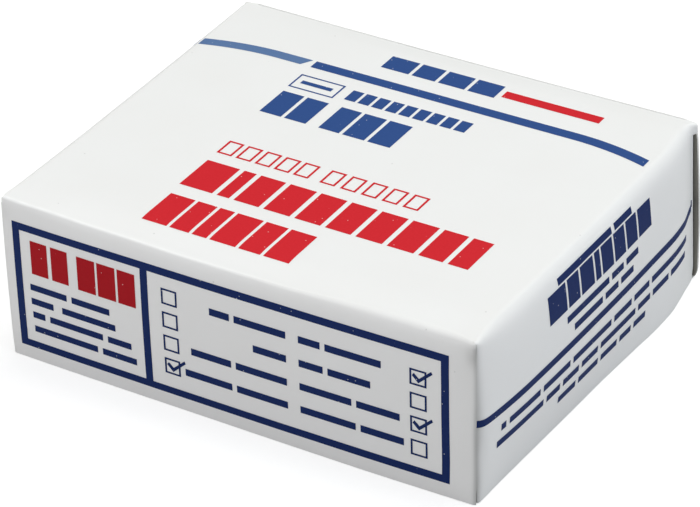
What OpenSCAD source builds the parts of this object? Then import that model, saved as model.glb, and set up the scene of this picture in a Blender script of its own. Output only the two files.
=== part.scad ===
// Folded board carton with a hinged lid, holding a stack of glass microscope slides.
// X runs along the slides, Y from the lid's front to the hinge, Z up.
// The origin is the middle of the footprint, on the table.

/* [Slides] */
// Length of one glass slide
slide_length = 76; // [70:0.5:80]
// Height of a slide, which stands on its long edge
slide_height = 26; // [22:0.5:30]
// Thickness of the glass
slide_thickness = 1.2; // [1:0.05:1.5]
// Number of slides in the stack
slide_count = 50; // [20:1:50]
// Air between one slide and the next
slide_gap = 0.09; // [0.05:0.01:0.2]
// Width of the bevel that is ground along the rims of both faces
ground_bevel = 0.15; // [0.05:0.05:0.3]

/* [Board] */
// Thickness of the carton board
board = 0.45; // [0.35:0.05:0.7]
// Clearance at each end of the slides
end_fit = 0.35; // [0.2:0.05:1]
// Clearance before and behind the stack
stack_fit = 0.3; // [0.15:0.05:1]

/* [Tray] */
// How far the tray's walls stop below the lid's top
wall_drop = 3.7; // [1.5:0.1:12]
// Outer radius of the folds round the tray's floor
tray_fold = 0.7; // [0.6:0.1:1.2]
// Length of the glue tabs that join the walls at the corners
tray_tab = 12; // [6:0.5:20]
// Slant at the ends of a glue tab
tab_slant = 2.5; // [1:0.5:4]

/* [Back panel] */
// How far the panel stands past the lid's corner at the crease
panel_over_top = 0.45; // [0.2:0.05:1]
// How far the panel stands past the lid's corner near the table
panel_over_low = 1.05; // [0.5:0.05:1.5]
// Width cut off the panel's lower corners
panel_cut_width = 1.3; // [0.5:0.1:2]
// Height cut off the panel's lower corners
panel_cut_height = 2.4; // [1:0.1:4]
// Gap between the panel's crease and the lid
crease_gap = 0.08; // [0.05:0.01:0.15]

/* [Lid] */
// Air between the tops of the slides and the lid
headroom = 0.8; // [0.4:0.1:3]
// Clearance between the tray and the tabs behind the lid's front
front_fit = 0.3; // [0.2:0.05:1]
// Clearance between the tray's sides and the lid's corners
side_fit = 0.5; // [0.3:0.05:1]
// Height of the lid's lower edge above the table
lid_lift = 0.2; // [0.1:0.05:1]
// Outer radius of the fold along the front
front_fold = 1.3; // [0.8:0.1:2.5]
// Outer radius of the soft folds along the sides
side_fold = 3; // [1.5:0.1:4]
// How far the front bows out between its corners
front_bow = 0.5; // [0.1:0.1:1]
// How far the side flaps bow out past the corners
side_bow = 2.25; // [1.8:0.05:3]
// How far the long curve along a side flap falls back towards the front
flap_sag = 1.2; // [0.6:0.05:1.5]
// Radius of the curve down a side flap
belly_radius = 80; // [60:1:200]
// Length of the curl at a side flap's front end
front_curl = 4; // [3:0.5:8]
// Length of the curl at a side flap's free back end
back_curl = 9.2; // [6:0.2:14]
// How far a flap's back corner falls inside the lid's corner
back_tuck = 0.1; // [0.05:0.05:0.5]
// Air between a side flap's back edge and the back panel
flap_gap = 0.35; // [0.2:0.05:1]
// Length of the glue tabs behind the lid's front
lid_tab = 12; // [6:0.5:20]
// Width of the open seam at each front corner
seam = 0.12; // [0.05:0.01:0.3]

/* [Print] */
// Thickness of the printed ink
ink = 0.05; // [0.03:0.01:0.1]
// Distance of the ink from the board
ink_gap = 0.02; // [0.01:0.01:0.05]
// Width of the long stripe on the top
top_stripe = 1.95; // [1:0.05:4]
// Width of the stripe along the side
side_stripe = 1.2; // [0.5:0.05:3]
// Line width of the frame on the front
frame_line = 1.25; // [0.5:0.05:2]
// Size of a tick box
tick_box = 2.7; // [1.5:0.1:3.4]
// Line width of a tick box
tick_line = 0.24; // [0.15:0.01:0.5]

/* [Hidden] */
$fn = 64;
more = 1; // how far a cutting shape runs past what it cuts

stack = slide_count * slide_thickness + (slide_count - 1) * slide_gap;

// The tray, from the slides outwards
tray_half = slide_length / 2 + end_fit + board;
lid_half = tray_half + side_fit + board;
depth = 2 * (2 * board + stack_fit) + stack + front_fit + 2 * board;
back_face = depth / 2;
panel_face = back_face - board;
stack_back = panel_face - board - stack_fit;
tray_front = stack_back - stack - stack_fit - 2 * board;
lid_front = -depth / 2;
height = board + slide_height + headroom + board;
tray_height = height - wall_drop;

// The crease is a round bead on the panel's top, and the lid turns about its middle
crease_r = board / 2;
crease_y = back_face - crease_r;
crease_z = height - crease_r;
lid_back = crease_y - crease_r - crease_gap;
flap_back = panel_face - flap_gap;
panel_top_half = lid_half + panel_over_top;
panel_low_half = lid_half + panel_over_low;

// Down the side: one long curve that runs into the fold
belly_x = lid_half + side_bow;
belly_z = height * 0.47;
fold_z = height - side_fold;
fold_angle = asin((fold_z - belly_z) / (belly_radius - side_fold));
fold_x = belly_x - belly_radius + (belly_radius - side_fold) * cos(fold_angle);
ear_z = fold_z;

// Along the side: one long curve with a curl at each end
widest_y = depth * 0.12;
near_y = lid_front + front_curl;
far_y = flap_back - back_curl;
flap_radius = (pow(widest_y - near_y, 2) + pow(flap_sag, 2)) / (2 * flap_sag);
plan_centre = [belly_x - flap_radius, widest_y];
near_point = plan_point(near_y);
far_point = plan_point(far_y);
near_corner = [lid_half, lid_front];
far_corner = [lid_half - back_tuck, flap_back];
near_radius = radius_through(near_point, near_corner);
far_radius = radius_through(far_point, far_corner);
near_centre = near_point - near_radius * plan_normal(near_point);
far_centre = far_point - far_radius * plan_normal(far_point);

function plan_point(y) = [
    plan_centre.x + sqrt(pow(flap_radius, 2) - pow(y - widest_y, 2)), y];
function plan_normal(p) = (p - plan_centre) / flap_radius;
// A circle that leaves the long curve at p and passes through q
function radius_through(p, q) = pow(norm(p - q), 2) / (2 * plan_normal(p) * (p - q));
function angle_of(p, centre) = atan2(p.y - centre.y, p.x - centre.x);
function arc(centre, r, from, to, steps) = [
    for (i = [0:steps]) let (a = from + (to - from) * i / steps)
        centre + r * [cos(a), sin(a)]];
function mirrored(points) = [
    for (i = [len(points) - 1:-1:0]) [-points[i].x, points[i].y]];
function slide_name(i) = str("slide_", i < 10 ? "0" : "", i);

slide_names = [for (i = [1:slide_count]) slide_name(i)];

// ---- glass ----

module glass_slide() {
    half = slide_thickness / 2;
    color("lightcyan") intersection() {
        rotate([90, 0, 90]) linear_extrude(slide_length, center = true)
            ground_section(half, slide_height);
        linear_extrude(slide_height) rotate(90)
            ground_plan(half, slide_length / 2);
    }
}

module ground_section(half, tall) {
    polygon([[-half + ground_bevel, 0], [half - ground_bevel, 0],
        [half, ground_bevel], [half, tall - ground_bevel],
        [half - ground_bevel, tall], [-half + ground_bevel, tall],
        [-half, tall - ground_bevel], [-half, ground_bevel]]);
}

module ground_plan(half, reach) {
    translate([0, -reach]) ground_section(half, 2 * reach);
}

module slide_in_stack(i) {
    pitch = slide_thickness + slide_gap;
    translate([0, stack_back - slide_thickness / 2 - (i - 1) * pitch, board])
        glass_slide();
}

// ---- tray with the back panel ----

module tray() {
    color("gainsboro") {
        difference() {
            tray_block(0);
            tray_block(board);
        }
        back_panel();
        for (side = [0, 1]) mirror([side, 0, 0]) {
            tray_glue_tab(tray_front + board / 2, tray_front + 2 * board);
            tray_glue_tab(panel_face - board, panel_face + board / 2);
        }
    }
}

// The tray's outer block, or with an inset the space in it
module tray_block(inset) {
    half = tray_half - inset;
    front = tray_front + inset;
    r = tray_fold - inset;
    top = inset > 0 ? tray_height + more : tray_height;
    intersection() {
        translate([0, panel_face, 0]) rotate([90, 0, 0])
            linear_extrude(panel_face - front) translate([-half, inset])
                round_bottom(2 * half, top - inset, r, r);
        rotate([90, 0, 90]) linear_extrude(2 * half, center = true)
            translate([front, inset])
                round_bottom(panel_face - front, top - inset, r, 0);
    }
}

// A box outline with its lower left and lower right corners rounded
module round_bottom(wide, tall, left, right) {
    polygon(concat(
        left > 0 ? arc([left, left], left, 180, 270, 8) : [[0, 0]],
        right > 0 ? arc([wide - right, right], right, 270, 360, 8) : [[wide, 0]],
        [[wide, tall], [0, tall]]));
}

module back_panel() {
    foot_r = min(tray_fold / 2, board * 0.8);
    intersection() {
        rotate([90, 0, 90]) linear_extrude(2 * panel_low_half, center = true) {
            translate([panel_face, 0]) polygon(concat([[0, 0]],
                arc([board - foot_r, foot_r], foot_r, 270, 360, 8),
                [[board, crease_z], [0, crease_z]]));
            translate([crease_y, crease_z]) circle(crease_r);
        }
        translate([0, back_face + more, 0]) rotate([90, 0, 0])
            linear_extrude(board + 2 * more) polygon([
                [panel_low_half - panel_cut_width, 0],
                [panel_low_half, panel_cut_height], [panel_top_half, height],
                [-panel_top_half, height], [-panel_low_half, panel_cut_height],
                [-panel_low_half + panel_cut_width, 0]]);
    }
}

// A tab folded in from the side wall, and glued to the wall that it reaches into
module tray_glue_tab(from, to) {
    root = tray_half - board / 2;
    end = tray_half - board - tray_tab;
    low = tray_fold;
    high = tray_height - tray_fold;
    translate([0, to, 0]) rotate([90, 0, 0]) linear_extrude(to - from)
        polygon([[root, low], [root, high], [end, high - tab_slant], [end, low + tab_slant]]);
}

// ---- lid ----

module lid() {
    color("whitesmoke") difference() {
        lid_form(0, lid_lift, lid_back);
        difference() {
            lid_form(-board, -more, back_face);
            for (side = [0, 1]) mirror([side, 0, 0]) lid_glue_tab();
        }
        for (side = [-1, 1])
            translate([side * (lid_half - board) - seam / 2, lid_front - 2 * front_bow, -more])
                cube([seam, 2 * front_bow + board, fold_z + more]);
    }
}

// The lid's outer form grown by o, down to low and back to rear
module lid_form(o, low, rear) {
    solid = o >= 0;
    intersection() {
        translate([0, back_face + more, 0]) rotate([90, 0, 0])
            linear_extrude(depth + 3 * more) across_outline(o, low);
        rotate([90, 0, 90]) linear_extrude(3 * belly_x, center = true)
            along_outline(o, low, rear, solid);
        translate([0, 0, low]) linear_extrude(height + more - low)
            plan_outline(o, rear, solid);
    }
}

// Seen from the front: the belly of the flaps, the soft folds and the top
module across_outline(o, low) {
    r = belly_radius + o;
    right = concat(
        arc([belly_x - belly_radius, belly_z], r, asin((low - belly_z) / r), fold_angle, 8),
        arc([fold_x, fold_z], side_fold + o, fold_angle, 90, 10));
    polygon(concat(right, mirrored(right)));
}

// Seen from the side: the top, the front fold, and the flaps cut short of the panel
module along_outline(o, low, rear, solid) {
    front = lid_front - front_bow;
    end = solid ? flap_back : rear;
    polygon(concat(
        [[rear, height + o]],
        arc([front + front_fold, height - front_fold], front_fold + o, 90, 180, 8),
        [[front - o, low], [end, low], [end, ear_z], [rear, ear_z]]));
}

// Seen from above: the bowed front, the flaps with their curls, and the ears
module plan_outline(o, rear, solid) {
    near_end = asin((lid_front - o - near_centre.y) / (near_radius + o));
    ear = solid ? panel_top_half - board : belly_x;
    right = concat(
        arc(near_centre, near_radius + o, near_end, angle_of(near_point, near_centre), 5),
        arc(plan_centre, flap_radius + o, angle_of(near_point, plan_centre),
            angle_of(far_point, plan_centre), 8),
        arc(far_centre, far_radius + o, angle_of(far_point, far_centre),
            angle_of(far_corner, far_centre), 6),
        [[ear, flap_back], [ear, rear]]);
    corner = right[0];
    front_r = (pow(corner.x, 2) + pow(front_bow, 2)) / (2 * front_bow);
    front_a = asin(corner.x / front_r);
    front = arc([0, corner.y - front_bow + front_r], front_r, 270 - front_a, 270 + front_a, 12);
    inner_front = [for (i = [1:len(front) - 2]) front[i]];
    polygon(concat(inner_front, right, mirrored(right)));
}

// A side flap's tab, glued behind the front
module lid_glue_tab() {
    difference() {
        translate([0, lid_front - front_bow, 0]) rotate([90, 0, 0])
            translate([0, 0, -front_bow - 3 * board])
            linear_extrude(front_bow + 3 * board) polygon([
                [lid_half, 2 * lid_lift], [lid_half, fold_z],
                [lid_half - lid_tab, fold_z - tab_slant],
                [lid_half - lid_tab, 2 * lid_lift + tab_slant]]);
        lid_form(-2 * board, -more, back_face);
    }
}

// ---- print: fields of colour and plain shapes, with no words ----

// The print is laid out in cells, and this many lie along, across and up the lid
cell_count = [80, 68, 28];

module ink_skin() {
    difference() {
        lid_form(ink_gap + ink, lid_lift, lid_back);
        lid_form(ink_gap, -more, back_face);
    }
}

module on_top() {
    $cell = [2 * lid_half / cell_count.x, depth / cell_count.y];
    intersection() {
        ink_skin();
        translate([0, 0, fold_z]) linear_extrude(2 * side_fold) children();
    }
}

module on_front() {
    $cell = [2 * lid_half / cell_count.x, height / cell_count.z];
    intersection() {
        ink_skin();
        translate([0, lid_front + front_bow, 0]) rotate([90, 0, 0])
            linear_extrude(4 * front_bow) children();
    }
}

module on_side() {
    $cell = [depth / cell_count.y, height / cell_count.z];
    intersection() {
        ink_skin();
        rotate([90, 0, 90]) translate([0, 0, lid_half - 2 * board])
            linear_extrude(side_bow + 4 * board) children();
    }
}

module block(x, y, wide, tall) {
    translate([x * $cell.x, y * $cell.y]) square([wide * $cell.x, tall * $cell.y]);
}

module outline_box(x, y, wide, tall, line) {
    difference() {
        block(x, y, wide, tall);
        translate([x * $cell.x + line, y * $cell.y + line])
            square([wide * $cell.x - 2 * line, tall * $cell.y - 2 * line]);
    }
}

// A row of blocks or bars, one for each width
module block_row(x, y, widths, tall = 1.1, gap = 0.9) {
    for (i = [0:len(widths) - 1])
        block(x + total(widths, i) + i * gap, y, widths[i], tall);
}

// A row of equal boxes drawn in line
module box_row(x, y, count, wide, tall, gap, line) {
    for (i = [0:count - 1]) outline_box(x + i * (wide + gap), y, wide, tall, line);
}

function total(widths, count) = count == 0 ? 0 : widths[count - 1] + total(widths, count - 1);
function row_width(widths, gap) = total(widths, len(widths)) + gap * (len(widths) - 1);

// Part of the top's stripe, which sags in a parabola over the last run at each end
module stripe_piece(from, to, slant = 0, low = 20.2, sag = 2.25, run = 14, steps = 16) {
    bend = cell_count.x / 2 - run;
    function edge(x) = low - sag * pow(max(abs(x) - bend, 0) / run, 2);
    xs = [for (i = [0:steps]) from + (to - from) * i / steps];
    polygon(concat(
        [for (x = xs) [(x - (x == to ? slant : 0)) * $cell.x, edge(x) * $cell.y]],
        [for (i = [steps:-1:0]) [xs[i] * $cell.x, edge(xs[i]) * $cell.y + top_stripe]]));
}

module top_print_blue() {
    color("royalblue") on_top() {
        stripe_piece(from = -20, to = 38.9);
        block_row(x = -10.4, y = 25.4, widths = [4.9, 4.1, 4.6, 4.6], tall = 3.8, gap = 0.6);
        outline_box(x = -20, y = 13.6, wide = 8, tall = 4.1, line = 0.28);
        block(x = -18.8, y = 15.2, wide = 5.5, tall = 0.9);
        block_row(x = -10.3, y = 14.2, widths = [for (i = [1:9]) 1.9], tall = 3, gap = 0.5);
        block_row(x = -19.8, y = 5.1, widths = [3.8, 3.8], tall = 6.9, gap = 0.6);
        block_row(x = -9.3, y = 5.1, widths = [3.6, 3.8, 3.9], tall = 6.9, gap = 0.6);
    }
}

module top_print_pale() {
    color("lightsteelblue") on_top() stripe_piece(from = -42, to = -20.7, slant = 1.2);
}

module top_print_red() {
    color("crimson") on_top() {
        block_row(x = -18.8, y = -18.5, widths = [5.7, 2.1, 4.3, 4.5, 4.4, 4.3, 4.4, 4.4, 4, 3.3],
            tall = 7.7, gap = 0.83);
        block_row(x = -18.4, y = -29.1, widths = [4.3, 3.3, 2.5, 4.4, 3.7, 4.3],
            tall = 7.8, gap = 0.54);
        box_row(x = -18.9, y = -8.3, count = 5, wide = 2.6, tall = 3.8, gap = 0.75, line = 0.35);
        box_row(x = -0.9, y = -8.3, count = 5, wide = 2.6, tall = 3.8, gap = 0.95, line = 0.35);
        block(x = 10.5, y = 26.2, wide = 16.8, tall = 1.9);
    }
}

module front_print_blue() {
    color("midnightblue") on_front() {
        split_frame(left = -38.4, right = 35.8, low = 2.4, high = 24.3, split = -15.6);
        block_row(x = -35.8, y = 12.9, widths = [6.6, 6.8]);
        block_row(x = -35.8, y = 10.4, widths = [4, 9.6], gap = 1.6);
        block_row(x = -35.7, y = 8, widths = [2.2, 9.6, 4.2]);
        block_row(x = -35.6, y = 5.5, widths = [11.5, 6.1]);
        tick_rows(first = 18.5, pitch = 4.05);
    }
}

// A frame with an upright line that splits it in two
module split_frame(left, right, low, high, split) {
    outline_box(left, low, right - left, high - low, frame_line);
    translate([split * $cell.x, low * $cell.y]) square([frame_line, (high - low) * $cell.y]);
}

// Rows of words with a tick box at each end
module tick_rows(first, pitch, gap = 0.8) {
    words = [[3.4, 8.7], [5.6], [6.9, 8.7], [8.1, 8.7]];
    answers = [[3.6, 9.2], [4, 7], [8.6, 7.1], [9.2, 7.1]];
    for (row = [0:3]) {
        y = first - row * pitch;
        block_row(x = 9.2 - row_width(words[row], gap), y = y + 0.3, widths = words[row],
            tall = 1.2, gap = gap);
        block_row(x = 11.3, y = y + 0.3, widths = answers[row], tall = 1.2, gap = gap);
        tick_square(x = -12, y = y - 0.3, ticked = row == 3);
        tick_square(x = 29.5, y = y - 0.8, ticked = row == 0 || row == 2);
    }
}

module tick_square(x, y, ticked) {
    translate([x * $cell.x, y * $cell.y]) {
        difference() {
            square(tick_box);
            translate([tick_line, tick_line]) square(tick_box - 2 * tick_line);
        }
        if (ticked) polygon(tick_box * [[0.19, 0.59], [0.52, 0.26], [1.37, 1],
            [1.3, 1.11], [0.56, 0.48], [0.3, 0.7]]);
    }
}

module front_print_red() {
    color("firebrick") on_front() {
        block_row(x = -35.3, y = 15.9, widths = [3, 3], tall = 5.8, gap = 0.7);
        block_row(x = -26.9, y = 15.8, widths = [3.2, 3.2, 3.1], tall = 5.8, gap = 0.4);
    }
}

module side_print_blue() {
    color("midnightblue") on_side() {
        long_line(y = 13.15);
        block_row(x = -12.2, y = 25.1, widths = [16, 5.4]);
        block_row(x = -15.4, y = 20.2, widths = [5, 3.3, 3.8, 1.5, 3.3, 3.3, 3.3, 4], tall = 4.6,
            gap = 0.5);
        block_row(x = -10.6, y = 17.9, widths = [12.4, 3.6, 3.8]);
        block_row(x = -8.6, y = 15.7, widths = [8.3, 3.9, 3.9]);
        block_row(x = -28.6, y = 10.1, widths = [1.2, 8.2, 7.6, 11.4, 5.4, 4.8, 11]);
        block_row(x = -29.6, y = 7.6, widths = [12.4, 3.8, 4.6, 4.8, 10.6, 3.8, 4.6, 4]);
        block_row(x = -12.6, y = 5.1, widths = [5, 5.8, 4.8, 3.4, 3.6]);
    }
}

module long_line(y) {
    translate([lid_front, y * $cell.y]) square([depth, side_stripe]);
}

tray();
lid();
for (i = [1:slide_count]) {
    slide_in_stack(i);
}
top_print_blue();
top_print_pale();
top_print_red();
front_print_blue();
front_print_red();
side_print_blue();
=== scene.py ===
import bpy, bmesh, math
from mathutils import Matrix, Vector, noise


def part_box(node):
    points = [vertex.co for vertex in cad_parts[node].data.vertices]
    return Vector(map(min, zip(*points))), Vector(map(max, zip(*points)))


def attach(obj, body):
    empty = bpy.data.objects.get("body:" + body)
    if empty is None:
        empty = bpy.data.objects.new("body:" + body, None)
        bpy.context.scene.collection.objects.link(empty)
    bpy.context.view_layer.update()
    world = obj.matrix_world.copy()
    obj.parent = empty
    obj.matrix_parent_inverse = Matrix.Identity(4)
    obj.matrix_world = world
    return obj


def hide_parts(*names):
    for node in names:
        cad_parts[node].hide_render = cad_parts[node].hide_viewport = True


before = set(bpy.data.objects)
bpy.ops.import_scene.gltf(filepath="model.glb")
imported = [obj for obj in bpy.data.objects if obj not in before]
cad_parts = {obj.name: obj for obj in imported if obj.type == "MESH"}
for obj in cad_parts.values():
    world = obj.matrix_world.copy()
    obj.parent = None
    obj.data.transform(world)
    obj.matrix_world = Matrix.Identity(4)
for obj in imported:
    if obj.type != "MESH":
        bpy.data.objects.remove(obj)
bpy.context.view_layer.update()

mm = 0.001


def srgb(hexText):  # sRGB hex to the linear colour that the shaders want
    parts = [int(hexText[i:i + 2], 16) / 255 for i in (0, 2, 4)]
    return tuple(c / 12.92 if c <= 0.04045 else ((c + 0.055) / 1.055) ** 2.4 for c in parts) + (1,)


def addNode(tree, kind, inputs=(), links=(), **settings):  # inputs are values, links are outputs
    node = tree.nodes.new(kind)
    for name, value in settings.items():
        setattr(node, name, value)
    for socket, value in dict(inputs).items():
        node.inputs[socket].default_value = value
    for socket, output in dict(links).items():
        tree.links.new(output, node.inputs[socket])
    return node


def newMaterial(name):
    material = bpy.data.materials.new(name)
    material.use_nodes = True
    material.node_tree.nodes.clear()
    return material, material.node_tree


def blend(low, high, t):
    return low + (high - low) * t


def smooth(t):  # an S curve from 0 to 1
    t = min(max(t, 0), 1)
    return t * t * (3 - 2 * t)


def bump(t):  # 1 at 0, falling away on both sides
    return math.exp(-t * t)


def curveThrough(points):  # a smooth curve through (place, value) points that never overshoots them
    ys = [p[0] for p in points]
    vs = [p[1] for p in points]
    steps = [(vs[i + 1] - vs[i]) / (ys[i + 1] - ys[i]) for i in range(len(ys) - 1)]
    slopes = [steps[0]]
    for a, b in zip(steps, steps[1:]):
        slopes.append(0 if a * b <= 0 else 2 * a * b / (a + b))
    slopes.append(steps[-1])

    def at(y):
        if y <= ys[0]:
            return vs[0] + slopes[0] * (y - ys[0])
        if y >= ys[-1]:
            return vs[-1] + slopes[-1] * (y - ys[-1])
        i = max(k for k in range(len(ys) - 1) if ys[k] <= y)
        h = ys[i + 1] - ys[i]
        t = (y - ys[i]) / h
        return (vs[i] * (1 + 2 * t) * (1 - t) ** 2 + vs[i + 1] * t * t * (3 - 2 * t)
                + h * t * (1 - t) * (slopes[i] * (1 - t) - slopes[i + 1] * t))
    return at


boardLook = {
    "white": "f2f2f1",
    "warm": "efeeec",
    # painted highlight along the front fold and the flaps' far edges, partly rubbed wear
    "wornAndHighlit": "fcfcfb",
    "seamShade": "76746f",  # painted shade: the grey put where two edges meet, for the shade in the seam's groove
    "roughness": 0.42,  # clay coating, calendered but not varnished
    "cloudSize": 14,  # mm between the faint clouds in the coating
    "fibreSize": 0.35,  # mm, drawn coarser than real fibres so that they show
    "speckSize": 5,  # mm between the few grey specks
    "speck": "9a9a98",
    "pinholeSize": 1.3,  # mm between the spots that the ink missed
    "greyDark": "53514c",  # the recycled back's dark fibres
    "greyPale": "716f69",
    # painted light: the grey back drawn paler where more light reaches it
    "greyLit": "8b8981",
    "cutDark": "b8b9b4",  # the sheared edge
    "cutPale": "dededa",
}


def coatedBoard():  # clay-coated carton board: bright, nearly neutral white with a dull sheen
    material, tree = newMaterial("clayCoatedBoard")
    coords = addNode(tree, "ShaderNodeTexCoord").outputs["Object"]
    clouds = addNode(tree, "ShaderNodeTexNoise", {"Scale": 1000 / boardLook["cloudSize"], "Detail": 3},
                     {"Vector": coords})
    tint = addNode(tree, "ShaderNodeMix", {"A": srgb(boardLook["white"]), "B": srgb(boardLook["warm"])},
                   {"Factor": clouds.outputs["Fac"]}, data_type="RGBA")
    # painted highlight: paler along the front fold, partly rubbed wear, and a painted bright line along the
    # flaps' far edges
    wearAndPaintedLight = addNode(tree, "ShaderNodeAttribute", attribute_name="wearAndPaintedLight")
    wornAndHighlit = addNode(tree, "ShaderNodeMix", {"B": srgb(boardLook["wornAndHighlit"])},
                   {"Factor": wearAndPaintedLight.outputs["Fac"], "A": tint.outputs["Result"]}, data_type="RGBA")
    # painted shade: grey along the corner seams and the front's right end, where shade falls
    seamShade = addNode(tree, "ShaderNodeAttribute", attribute_name="seamShade")
    seamShaded = addNode(tree, "ShaderNodeMix", {"B": srgb(boardLook["seamShade"])},
                     {"Factor": seamShade.outputs["Fac"], "A": wornAndHighlit.outputs["Result"]}, data_type="RGBA")
    cells = addNode(tree, "ShaderNodeTexVoronoi", {"Scale": 1000 / boardLook["speckSize"]},
                    {"Vector": coords})
    speck = addNode(tree, "ShaderNodeMapRange",
                    {"From Min": 0.018, "From Max": 0.034, "To Min": 0.3, "To Max": 0},
                    {"Value": cells.outputs["Distance"]})
    dusty = addNode(tree, "ShaderNodeMix", {"B": srgb(boardLook["speck"])},
                    {"Factor": speck.outputs["Result"], "A": seamShaded.outputs["Result"]}, data_type="RGBA")
    fibres = addNode(tree, "ShaderNodeTexNoise", {"Scale": 1000 / boardLook["fibreSize"], "Detail": 4},
                     {"Vector": coords})
    relief = addNode(tree, "ShaderNodeBump", {"Strength": 0.12, "Distance": 0.02 * mm},
                     {"Height": fibres.outputs["Fac"]})
    shader = addNode(tree, "ShaderNodeBsdfPrincipled",
                     {"Roughness": boardLook["roughness"], "IOR": 1.45, "Specular IOR Level": 0.35},
                     {"Base Color": dusty.outputs["Result"], "Normal": relief.outputs["Normal"]})
    addNode(tree, "ShaderNodeOutputMaterial", links={"Surface": shader.outputs[0]})
    return material


def greyBoard():  # the unbleached recycled back of the board: matt grey with pale and dark fibres
    material, tree = newMaterial("recycledGreyBoard")
    coords = addNode(tree, "ShaderNodeTexCoord").outputs["Object"]
    fleck = addNode(tree, "ShaderNodeTexNoise", {"Scale": 1400, "Detail": 5, "Roughness": 0.65},
                    {"Vector": coords})
    ramp = addNode(tree, "ShaderNodeValToRGB", links={"Fac": fleck.outputs["Fac"]})
    ramp.color_ramp.elements[0].position = 0.3
    ramp.color_ramp.elements[0].color = srgb(boardLook["greyDark"])
    ramp.color_ramp.elements[1].position = 0.7
    ramp.color_ramp.elements[1].color = srgb(boardLook["greyPale"])
    # painted light: the grey back drawn paler towards the panel's cut edges, where more light reaches it
    wearAndPaintedLight = addNode(tree, "ShaderNodeAttribute", attribute_name="wearAndPaintedLight")
    greyLitMix = addNode(tree, "ShaderNodeMix", {"B": srgb(boardLook["greyLit"])},
                      {"Factor": wearAndPaintedLight.outputs["Fac"], "A": ramp.outputs["Color"]}, data_type="RGBA")
    relief = addNode(tree, "ShaderNodeBump", {"Strength": 0.35, "Distance": 0.04 * mm},
                     {"Height": fleck.outputs["Fac"]})
    shader = addNode(tree, "ShaderNodeBsdfPrincipled", {"Roughness": 0.9, "Specular IOR Level": 0.2},
                     {"Base Color": greyLitMix.outputs["Result"], "Normal": relief.outputs["Normal"]})
    addNode(tree, "ShaderNodeOutputMaterial", links={"Surface": shader.outputs[0]})
    return material


def cutBoard():  # the sheared edge of the board: pale, soft and furry
    material, tree = newMaterial("cutBoardEdge")
    coords = addNode(tree, "ShaderNodeTexCoord").outputs["Object"]
    fur = addNode(tree, "ShaderNodeTexNoise", {"Scale": 4000, "Detail": 3}, {"Vector": coords})
    tint = addNode(tree, "ShaderNodeMix",
                   {"A": srgb(boardLook["cutDark"]), "B": srgb(boardLook["cutPale"])},
                   {"Factor": fur.outputs["Fac"]}, data_type="RGBA")
    shader = addNode(tree, "ShaderNodeBsdfPrincipled", {"Roughness": 0.85, "Specular IOR Level": 0.2},
                     {"Base Color": tint.outputs["Result"]})
    addNode(tree, "ShaderNodeOutputMaterial", links={"Surface": shader.outputs[0]})
    return material


def offsetInk(name, colour, dark):  # offset litho ink: thin, dense, a little uneven, with a low sheen
    material, tree = newMaterial(name)
    coords = addNode(tree, "ShaderNodeTexCoord").outputs["Object"]
    mottle = addNode(tree, "ShaderNodeTexNoise", {"Scale": 2600, "Detail": 4, "Roughness": 0.7},
                     {"Vector": coords})
    tint = addNode(tree, "ShaderNodeMix", {"A": srgb(dark), "B": srgb(colour)},
                   {"Factor": mottle.outputs["Fac"]}, data_type="RGBA")
    cells = addNode(tree, "ShaderNodeTexVoronoi", {"Scale": 1000 / boardLook["pinholeSize"]},
                    {"Vector": coords})
    pinhole = addNode(tree, "ShaderNodeMapRange",  # where fibres kept the ink off, about 0.15 mm wide
                      {"From Min": 0.045, "From Max": 0.075, "To Min": 0.6, "To Max": 0},
                      {"Value": cells.outputs["Distance"]})
    bare = addNode(tree, "ShaderNodeMix", {"B": srgb(boardLook["white"])},
                   {"Factor": pinhole.outputs["Result"], "A": tint.outputs["Result"]}, data_type="RGBA")
    shader = addNode(tree, "ShaderNodeBsdfPrincipled", {"Roughness": 0.5, "Specular IOR Level": 0.1},
                     {"Base Color": bare.outputs["Result"]})
    addNode(tree, "ShaderNodeOutputMaterial", links={"Surface": shader.outputs[0]})
    return material


slide = {
    "frostedFrom": 18,  # mm from the middle: the last 20 mm of one end are frosted on both faces
    "clear": "eff6f2",
    "frost": "dfe8e4",
    "ior": 1.52,
    "haze": 0.08,  # what dust and fingers take from the clear faces
}


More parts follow.
